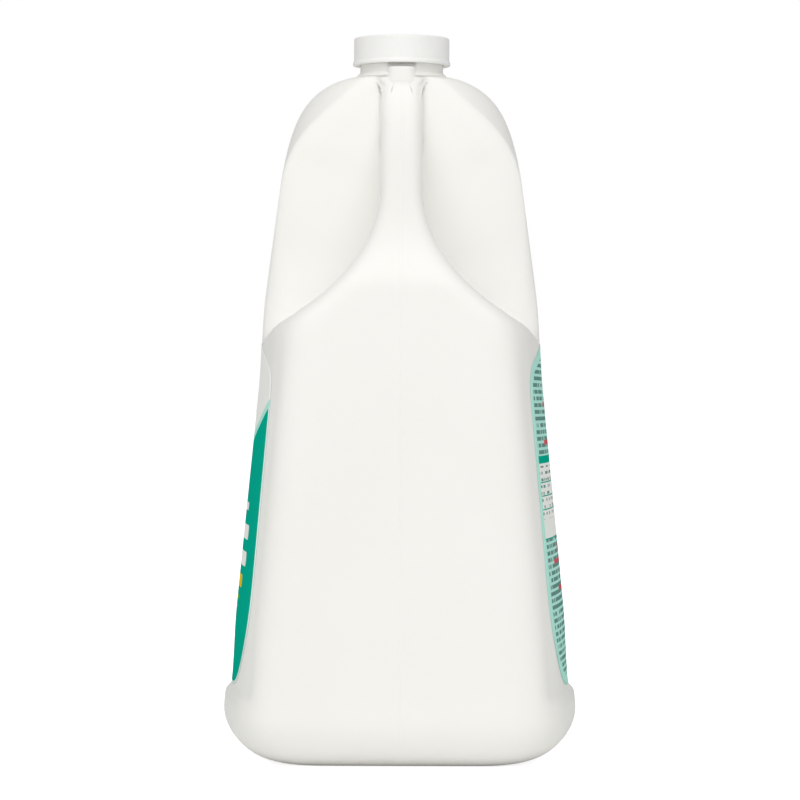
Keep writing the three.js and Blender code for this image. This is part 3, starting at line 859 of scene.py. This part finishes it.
class Print(Graph):
    """A graph that reads the label in millimetres and lays shapes of colour over each other."""

    def __init__(self, name, ground, **values):
        super().__init__(name, **values)
        split = self.nodes.new("ShaderNodeSeparateXYZ")
        self.links.new(self.place(), split.inputs[0])
        self.x = self.math("MULTIPLY", split.outputs[0], 1 / MM)
        self.z = self.math("MULTIPLY", split.outputs[2], 1 / MM)
        edge = self.nodes.new("ShaderNodeAttribute")
        edge.attribute_name = "edge_mm"
        self.edge = edge.outputs["Fac"]
        self.colour = ground

    def add(self, mask, colour):
        """Lays one colour over what is there."""
        self.colour = self.lay(self.colour, colour, mask)

    def below(self, value, limit):
        """1 where the value is under the limit."""
        return self.math("LESS_THAN", value, limit)

    def away(self, value, middle, half):
        """How far a value is outside a span, and 0 within it."""
        off = self.math("ABSOLUTE", self.math("SUBTRACT", value, middle))
        return self.math("MAXIMUM", self.math("SUBTRACT", off, half), 0.0)

    def pill(self, x, z, half_width, half_height, rounding):
        """A box with round corners: all points within the rounding of a smaller box."""
        out_x = self.away(self.x, x, half_width - rounding)
        out_z = self.away(self.z, z, half_height - rounding)
        squared = self.math("ADD", self.math("POWER", out_x, 2.0), self.math("POWER", out_z, 2.0))
        return self.below(squared, rounding**2)

    def band(self, low, high):
        """1 between two heights."""
        return self.below(self.away(self.z, (low + high) / 2, (high - low) / 2), ON_EDGE)

    def rows(self, pitch, fill, word, gap, seed):
        """Rows of short bars: each row is cut into cells of one length, shifted from row to row, and
        a cell shows where its random value is above the gap."""
        row = self.math("FLOOR", self.math("DIVIDE", self.z, pitch))
        within = self.math("FRACT", self.math("DIVIDE", self.z, pitch))
        shift = self.math("FRACT", self.math("MULTIPLY", self.math("ADD", row, seed), ROW_SHIFT))
        cell = self.math("FLOOR", self.math("ADD", self.math("DIVIDE", self.x, word), shift))
        place = self.nodes.new("ShaderNodeCombineXYZ")
        self.put(place.inputs[0], cell)
        self.put(place.inputs[1], row)
        place.inputs[2].default_value = seed
        chance = self.nodes.new("ShaderNodeTexWhiteNoise")
        self.links.new(place.outputs[0], chance.inputs["Vector"])
        shown = self.math("GREATER_THAN", chance.outputs["Value"], gap)
        return self.math("MULTIPLY", shown, self.below(within, fill))

    def done(self):
        """Links the colours, and a faint unevenness of the film, to the shader."""
        self.put(self.shader.inputs["Base Color"], self.colour)
        ripple = self.bump(self.noise(RIPPLE_SCALE, detail=2.0), RIPPLE_HEIGHT, RIPPLE_STRENGTH)
        tooth = self.bump(self.noise(TOOTH_SCALE, detail=1.0), TOOTH_HEIGHT, TOOTH_STRENGTH, ripple)
        self.put(self.shader.inputs["Normal"], tooth)
        gloss = self.vary(FILM_GLOSS_SCALE, *FILM_ROUGHNESS)
        self.put(self.shader.inputs["Roughness"], gloss)
        print(self.material.name, "nodes", len(self.nodes))
        return self.material


TEAL, MINT, WHITE = paint(8, 172, 147), paint(182, 235, 222), paint(243, 244, 240)
YELLOW, LEAF, CORAL = paint(232, 196, 40), paint(120, 184, 60), paint(214, 94, 104)
# The last colour here is not print: it is a painted highlight for the front label's edge.
SLATE, PAINTED_EDGE_HIGHLIGHT = paint(106, 148, 141), paint(226, 246, 240)
print("teal as linear light:", np.round(TEAL, 3))

# %% [markdown]
# ## Front print
# The front is a teal field under a white crown. A plain arc with a mint line under it divides them,
# and a pale line along the edge of the teal is a painted highlight, where the film's edge catches
# the light. The discs on the crown and the bars on the field are a plain pattern of this lesson's
# own.

# %% Front label
ARC_MIDDLE, ARC_RISE, ARC_LINE = 133.0, 0.0021, 3.4
EDGE_HIGHLIGHT_WIDTH, BAR_ROUNDING, DISC_INNER = 1.3, 0.8, 0.72
DISCS = [(-4, 152, 9), (12, 161, 4.5), (15, 147, 3), (-18, 160, 3.5), (-20, 146, 2.2)]
BARS = [
    (104, 1.6, WHITE, [(-27, 15), (8, 16), (38, 10)]),
    (93.5, 3.0, WHITE, [(-30, 27), (31, 30)]),
    (82.5, 3.0, WHITE, [(-41, 21), (0, 17), (41, 21)]),
    (73, 2.6, YELLOW, [(-24, 26), (28, 24)]),
    (66, 0.9, LEAF, [(-30, 12), (0, 15), (31, 12)]),
    (62, 0.9, LEAF, [(-22, 18), (20, 20)]),
    (49, 0.9, MINT, [(-15, 16), (18, 13)]),
    (45.5, 0.9, MINT, [(-12, 12), (14, 10)]),
]
front_print = Print("front_print_film", TEAL, Specular_IOR_Level=0.0)
hill = front_print.math("MULTIPLY", front_print.math("POWER", front_print.x, 2.0), ARC_RISE)
over_middle = front_print.math("SUBTRACT", front_print.z, ARC_MIDDLE)
over_arc = front_print.math("SUBTRACT", over_middle, hill)
# A painted highlight: a pale line along the teal's edge, where the film's edge catches the light.
front_print.add(front_print.below(front_print.edge, EDGE_HIGHLIGHT_WIDTH), PAINTED_EDGE_HIGHLIGHT)
front_print.add(front_print.math("GREATER_THAN", over_arc, -ARC_LINE), MINT)
front_print.add(front_print.math("GREATER_THAN", over_arc, 0.0), WHITE)
for x, z, outer in DISCS:
    for radius, colour in [(outer, TEAL), (DISC_INNER * outer, MINT)]:
        front_print.add(front_print.pill(x, z, radius, radius, radius), colour)
for z, half_height, colour, row in BARS:
    for x, half_width in row:
        bar = front_print.pill(x, z, half_width, half_height, BAR_ROUNDING * half_height)
        front_print.add(bar, colour)
front_film.data.materials.append(front_print.done())

# %% [markdown]
# ## Back print
# The back is mint with rows of fine slate bars. A plain teal heading stands over a white table with
# thin rules, and some larger bars are coral. Rows that a random value breaks up look like fine
# print from far off, and take a few nodes where single bars would take hundreds.

# %% Back label
HEADER, TABLE = (122.7, 125.8), (92.0, 122.7)
RULES = (115.0, 109.5, 104.0)
RULE_HALF = 0.25
CORAL_X, CORAL_ROUNDING = 24, 0.5
CORAL_HIGH = [(147.0, 20, 1.0), (131.2, 34, 1.0)]
CORAL_LOW = [(86.8, 16, 1.7), (82.0, 40, 0.9), (77.4, 12, 1.3), (70.6, 30, 0.9)]
FINE_ROWS = {"pitch": 2.75, "fill": 0.58, "word": 2.1, "gap": 0.16, "seed": 3.0}
TABLE_ROWS = {"pitch": 2.75, "fill": 0.42, "word": 3.4, "gap": 0.62, "seed": 8.0}
FINE_MARGIN, TABLE_MARGIN = 5.0, 4.0
TABLE_ROWS_UP, TABLE_ROWS_DOWN = 8.0, 1.0
back_print = Print("back_print_film", MINT, Specular_IOR_Level=0.0)
fine_rows = back_print.rows(**FINE_ROWS)
margin = back_print.math("GREATER_THAN", back_print.edge, FINE_MARGIN)
back_print.add(back_print.math("MULTIPLY", fine_rows, margin), SLATE)
for z, half_width, half_height in CORAL_HIGH + CORAL_LOW:
    back_print.add(back_print.pill(CORAL_X, z, half_width, half_height, CORAL_ROUNDING), CORAL)
inside = back_print.math("GREATER_THAN", back_print.edge, TABLE_MARGIN)
table_rows = back_print.rows(**TABLE_ROWS)
for low, high, colour in [(*TABLE, WHITE), (*HEADER, TEAL)]:
    back_print.add(back_print.math("MULTIPLY", back_print.band(low, high), inside), colour)
rows_band = back_print.band(TABLE[0] + TABLE_ROWS_UP, TABLE[1] - TABLE_ROWS_DOWN)
in_table = back_print.math("MULTIPLY", rows_band, inside)
back_print.add(back_print.math("MULTIPLY", in_table, table_rows), SLATE)
for z in (*RULES, TABLE[0]):
    rule = back_print.band(z - RULE_HALF, z + RULE_HALF)
    back_print.add(back_print.math("MULTIPLY", rule, inside), TEAL)
back_film.data.materials.append(back_print.done())

# %% Finishes on the plastic pieces
jug_shell.data.materials.clear()
jug_shell.data.materials.append(jug_white.material)
screw_cap.data.materials.append(cap_white.material)
print("finishes:", [piece.data.materials[0].name for piece in (jug_shell, screw_cap)])

# %% [markdown]
# ## Each piece and the solid it stands for
# The visible pieces take the place of the solids, which stay for collision. The jug has no moving
# parts, so all of them ride on the one body.

# %% Ride on the body
PIECES = [
    (jug_shell, "jug_body", "jug_plastic"),
    (screw_cap, "cap", "cap_plastic"),
    (front_film, "front_label", "front_print"),
    (back_film, "back_label", "back_print"),
]
for piece, node, slot in PIECES:
    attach(piece, "root")
    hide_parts(node)
print("pieces:", [piece.name for piece, _, _ in PIECES])

# %% [markdown]
# ## Floor, light and camera
# The jug stands on a plain pale floor that runs out of sight. An even sky lights it from all round,
# and a large soft disc of light hangs above the camera. A sun would be simpler, but its shadows
# are sharper. The camera sees the floor and the backdrop brighter than the light that they throw on
# the jug. It looks at the handle's side from a little under half the jug's height, from far away
# through a long lens.

# %% Floor
FLOOR_HALF = 40.0
FLOOR_GLOW, FLOOR_BOUNCE = 0.7, 0.05
FLOOR_LIGHT, FLOOR_DULL, FLOOR_SCALE = paint(246, 246, 245), paint(244, 244, 243), 3.0
PURE_WHITE = (1, 1, 1, 1)
corner = FLOOR_HALF * np.array([[-1, -1, 0], [1, -1, 0], [1, 1, 0], [-1, 1, 0]])
floor_mesh = bpy.data.meshes.new("floor")
floor_mesh.from_pydata(corner.tolist(), [], [(0, 1, 2, 3)])
floor = bpy.data.objects.new("floor", floor_mesh)
scene.collection.objects.link(floor)
pale = Graph("floor_pale", Roughness=0.9)
pale.shader.inputs["Emission Color"].default_value = PURE_WHITE
seen = pale.nodes.new("ShaderNodeLightPath").outputs["Is Camera Ray"]
glow = pale.math("ADD", pale.math("MULTIPLY", seen, FLOOR_GLOW), FLOOR_BOUNCE)
pale.put(pale.shader.inputs["Emission Strength"], glow)
mottle = pale.lay(FLOOR_LIGHT, FLOOR_DULL, pale.vary(FLOOR_SCALE))
pale.put(pale.shader.inputs["Base Color"], mottle)
floor_mesh.materials.append(pale.material)
print("floor half width", FLOOR_HALF, "m")

# %% Sky
SKY, BACKDROP = 0.49, 1.0
world = bpy.data.worlds.new("studio")
scene.world = world
world.use_nodes = True
sky_nodes, sky_links = world.node_tree.nodes, world.node_tree.links
sky_light = sky_nodes["Background"]
sky_light.inputs["Color"].default_value = PURE_WHITE
sky_light.inputs["Strength"].default_value = SKY
backdrop = sky_nodes.new("ShaderNodeBackground")
backdrop.inputs["Color"].default_value = PURE_WHITE
backdrop.inputs["Strength"].default_value = BACKDROP
choose = sky_nodes.new("ShaderNodeMixShader")
to_camera = sky_nodes.new("ShaderNodeLightPath").outputs["Is Camera Ray"]
sky_links.new(to_camera, choose.inputs["Fac"])
sky_links.new(sky_light.outputs[0], choose.inputs[1])
sky_links.new(backdrop.outputs[0], choose.inputs[2])
sky_links.new(choose.outputs[0], sky_nodes["World Output"].inputs["Surface"])
print("sky", SKY, "backdrop", BACKDROP)

# %% Light above the camera
KEY_AIM, KEY_DISTANCE, KEY_SIZE, KEY_POWER = Vector((1.0, -0.09, 1.15)), 4.0, 5.6, 112.5
key_data = bpy.data.lights.new("over_camera", "AREA")
key_data.shape, key_data.size, key_data.energy = "DISK", KEY_SIZE, KEY_POWER
key = bpy.data.objects.new("over_camera", key_data)
scene.collection.objects.link(key)
key.location = KEY_DISTANCE * KEY_AIM.normalized()
key.visible_camera = False
key.rotation_euler = KEY_AIM.to_track_quat("Z", "Y").to_euler()

# %% Camera
EYE = (1.55, -0.0003, 0.1485)
IMAGE, FOCAL_PIXELS, SENSOR, ROLL = 800, 3604.65, 36.0, 0.17
camera_data = bpy.data.cameras.new("camera")
camera_data.sensor_width = SENSOR
camera_data.lens = SENSOR * FOCAL_PIXELS / IMAGE
camera = bpy.data.objects.new("camera", camera_data)
scene.collection.objects.link(camera)
camera.location = EYE
camera.rotation_euler = (math.pi / 2, math.radians(-ROLL), math.pi / 2)
scene.camera = camera
scene.view_settings.view_transform = "Standard"
print("lens", round(camera_data.lens, 1), "mm")
